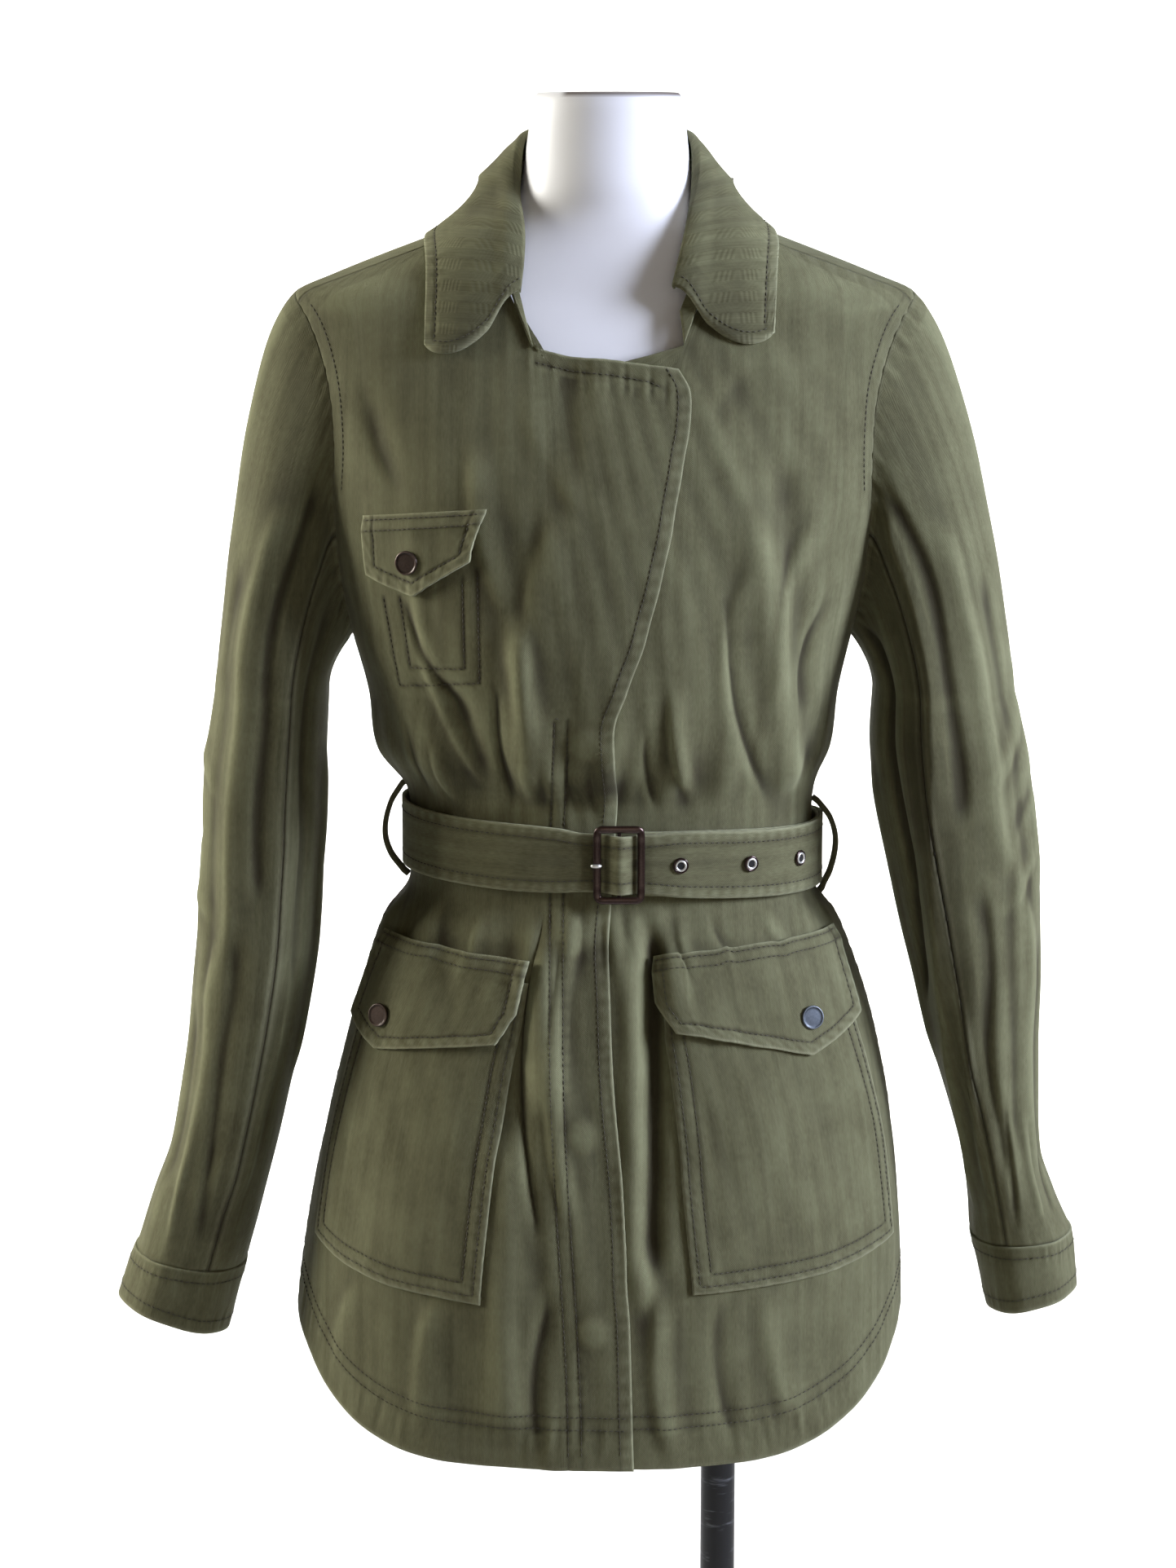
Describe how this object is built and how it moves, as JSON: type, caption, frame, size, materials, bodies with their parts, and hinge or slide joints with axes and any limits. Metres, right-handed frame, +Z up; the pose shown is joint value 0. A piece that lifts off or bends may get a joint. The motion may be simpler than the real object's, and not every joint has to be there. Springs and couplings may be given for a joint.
{
  "type": "belted field jacket on a limbless dress form with a stand",
  "caption": "Belted field jacket with a shirt collar, wrap front, flap pockets and open sleeves, worn by a limbless dress form on a pole with a round base plate.",
  "frame": {"origin": "centre of the round base plate's underside", "axes": "+Z up, +X to the viewer's right, front of the jacket towards -Y"},
  "size_m": [0.61, 0.34, 1.361],
  "materials": {
    "twill": "washed cotton herringbone twill, matt",
    "snap_metal": "dark burnished snap caps",
    "buckle_metal": "dark brown lacquer, glossy",
    "eyelet_metal": "pale metal rings with dark outer edges",
    "form_skin": "smooth white, slight sheen",
    "stand_metal": "black, with fine scuffs on the pole"
  },
  "bodies": {
    "root": {"back": "twill", "front_right": "twill", "front_left": "twill", "sleeve_upper_left": "twill", "sleeve_under_left": "twill", "cuff_left": "twill", "sleeve_upper_right": "twill", "sleeve_under_right": "twill", "cuff_right": "twill", "collar_stand": "twill", "collar_leaf": "twill", "pocket_right": "twill", "flap_right": "twill", "pocket_left": "twill", "flap_left": "twill", "flap_chest": "twill", "belt": "twill", "belt_loop_left": "twill", "belt_loop_right": "twill", "snap_chest": "snap_metal", "snap_right": "snap_metal", "snap_left": "snap_metal", "buckle": "buckle_metal", "buckle_bar": "buckle_metal", "buckle_prong": "buckle_metal", "eyelet_1": "eyelet_metal", "eyelet_2": "eyelet_metal", "eyelet_3": "eyelet_metal", "dress_form": "form_skin", "base_plate": "stand_metal", "pole_socket": "stand_metal", "form_socket": "stand_metal", "pole": "stand_metal"}
  },
  "joints": []
}
